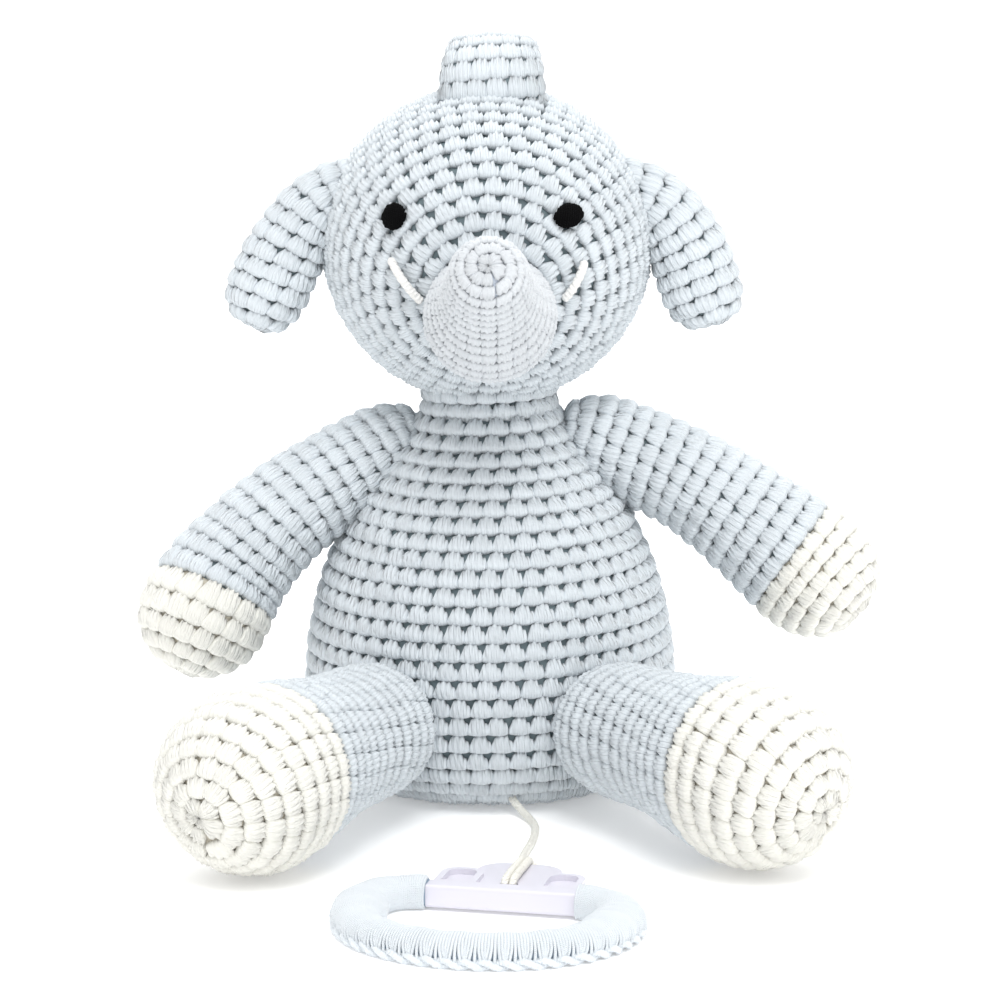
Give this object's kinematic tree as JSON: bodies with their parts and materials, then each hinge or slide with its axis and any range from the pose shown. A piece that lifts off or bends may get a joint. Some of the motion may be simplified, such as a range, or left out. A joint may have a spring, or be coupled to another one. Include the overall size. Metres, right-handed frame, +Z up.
{
  "type": "crocheted musical elephant toy",
  "caption": "Sitting crocheted elephant with stuffed limbs, upturned trunk, paddle ears and a hanging loop; a pull cord with a ring works the music box inside",
  "frame": {"origin": "middle of the seat, on the surface the toy sits on", "axes": "+Z up, -Y the way the toy faces, +X the toy's own left"},
  "size_m": [0.1809, 0.2096, 0.186],
  "materials": {
    "blue_yarn": "pale grey-blue cotton yarn, matt, crocheted in spiral rounds",
    "white_yarn": "off-white cotton yarn, matt, crocheted in spiral rounds",
    "trunk_yarn": "very pale lilac-white yarn, matt, crocheted tightly",
    "stuffing": "loose white polyester fibre",
    "black_thread": "black stranded embroidery thread with a slight sheen",
    "white_thread": "white thread",
    "cord": "off-white braided cord",
    "ring_plastic": "white glossy moulded plastic",
    "case_plastic": "white matt moulded plastic",
    "rubber": "black rubber",
    "steel": "bright plated steel",
    "cast_metal": "grey die-cast metal",
    "brass": "yellow brass"
  },
  "bodies": {
    "torso": {"body_cover": "blue_yarn", "body_stuffing": "stuffing", "cord_inside": "cord", "cord_grommet": "rubber", "case_front": "case_plastic", "case_rear": "case_plastic", "case_screws": "steel", "bedplate": "cast_metal", "gear_plate": "steel", "main_arbor": "steel", "comb": "steel", "comb_screws": "steel", "frame_screws": "steel", "spring_cup": "steel", "return_spring": "steel"},
    "neck": {"neck_seam": "blue_yarn", "neck_stuffing": "stuffing"},
    "head": {"head_cover": "blue_yarn", "head_stuffing": "stuffing", "eye_right": "black_thread", "eye_left": "black_thread", "cheek_stitch_right": "white_thread", "cheek_stitch_left": "white_thread", "hanging_loop": "blue_yarn"},
    "trunk": {"trunk_cover": "trunk_yarn", "trunk_stuffing": "stuffing"},
    "ear_right": {"ear_right": "blue_yarn", "ear_stuffing_right": "stuffing"},
    "ear_left": {"ear_left": "blue_yarn", "ear_stuffing_left": "stuffing"},
    "arm_right": {"arm_right": "blue_yarn", "hand_right": "white_yarn", "arm_stuffing_right": "stuffing"},
    "arm_left": {"arm_left": "blue_yarn", "hand_left": "white_yarn", "arm_stuffing_left": "stuffing"},
    "leg_right": {"leg_right": "blue_yarn", "foot_right": "white_yarn", "leg_stuffing_right": "stuffing"},
    "leg_left": {"leg_left": "blue_yarn", "foot_left": "white_yarn", "leg_stuffing_left": "stuffing"},
    "ring": {"pull_ring": "ring_plastic", "ring_cover": "blue_yarn", "pull_cord": "cord", "cord_knot": "cord", "cord_loop": "cord"},
    "drum": {"cord_drum": "case_plastic"},
    "cylinder": {"pin_cylinder": "brass"},
    "idler": {"idler_gear": "case_plastic"},
    "governor": {"governor_fly": "case_plastic"}
  },
  "joints": [
    {"name": "neck_nod", "type": "hinge", "parent": "torso", "child": "neck", "pos_m": [0, 0, 0.097], "axis": [1, 0, 0], "range_deg": [-10, 10]},
    {"name": "head_turn", "type": "hinge", "parent": "neck", "child": "head", "pos_m": [0, 0, 0.097], "axis": [0, 0, 1], "range_deg": [-30, 30]},
    {"name": "trunk_bend", "type": "hinge", "parent": "head", "child": "trunk", "pos_m": [0, -0.03336, 0.12286], "axis": [-1, 0, 0], "range_deg": [-12, 12]},
    {"name": "ear_flap_right", "type": "hinge", "parent": "head", "child": "ear_right", "pos_m": [-0.037, -0.004, 0.14852], "axis": [0, 1, 0], "range_deg": [-5, 35]},
    {"name": "ear_flap_left", "type": "hinge", "parent": "head", "child": "ear_left", "pos_m": [0.037, -0.004, 0.14852], "axis": [0, -1, 0], "range_deg": [-5, 35]},
    {"name": "arm_raise_right", "type": "hinge", "parent": "torso", "child": "arm_right", "pos_m": [-0.0265, 0, 0.085], "axis": [-0.3746, 0.9272, 0], "range_deg": [-5, 45]},
    {"name": "arm_raise_left", "type": "hinge", "parent": "torso", "child": "arm_left", "pos_m": [0.0265, 0, 0.085], "axis": [-0.225, -0.9744, 0], "range_deg": [-5, 45]},
    {"name": "leg_raise_right", "type": "hinge", "parent": "torso", "child": "leg_right", "pos_m": [-0.02287, -0.03522, 0.023], "axis": [-0.8949, 0.4462, 0], "range_deg": [-20, 35]},
    {"name": "leg_raise_left", "type": "hinge", "parent": "torso", "child": "leg_left", "pos_m": [0.02287, -0.03522, 0.023], "axis": [-0.829, -0.5592, 0], "range_deg": [-20, 35]},
    {"name": "cord_pull", "type": "slide", "parent": "torso", "child": "ring", "axis": [0, -1, 0], "range_m": [0, 0.25], "deforming": ["pull_cord"]},
    {"name": "drum_turn", "type": "hinge", "parent": "torso", "child": "drum", "pos_m": [0, 0.002, 0.046], "axis": [1, 0, 0], "range_deg": [0, 2052]},
    {"name": "cylinder_turn", "type": "hinge", "parent": "torso", "child": "cylinder", "pos_m": [0, 0.002, 0.046], "axis": [1, 0, 0], "range_deg": [0, 2052]},
    {"name": "idler_turn", "type": "hinge", "parent": "torso", "child": "idler", "pos_m": [0, 0.002, 0.056], "axis": [1, 0, 0], "range_deg": [-8191, 0]},
    {"name": "governor_turn", "type": "hinge", "parent": "torso", "child": "governor", "pos_m": [0, -0.004, 0.06129], "axis": [1, 0, 0], "range_deg": [0, 32746]}
  ],
  "couplings": [
    {"joint": "drum_turn", "follows": "cord_pull", "rad_per_m": 142.86},
    {"joint": "cylinder_turn", "follows": "cord_pull", "rad_per_m": 142.86},
    {"joint": "idler_turn", "follows": "cord_pull", "rad_per_m": -571.43},
    {"joint": "governor_turn", "follows": "cord_pull", "rad_per_m": 2285.7}
  ]
}
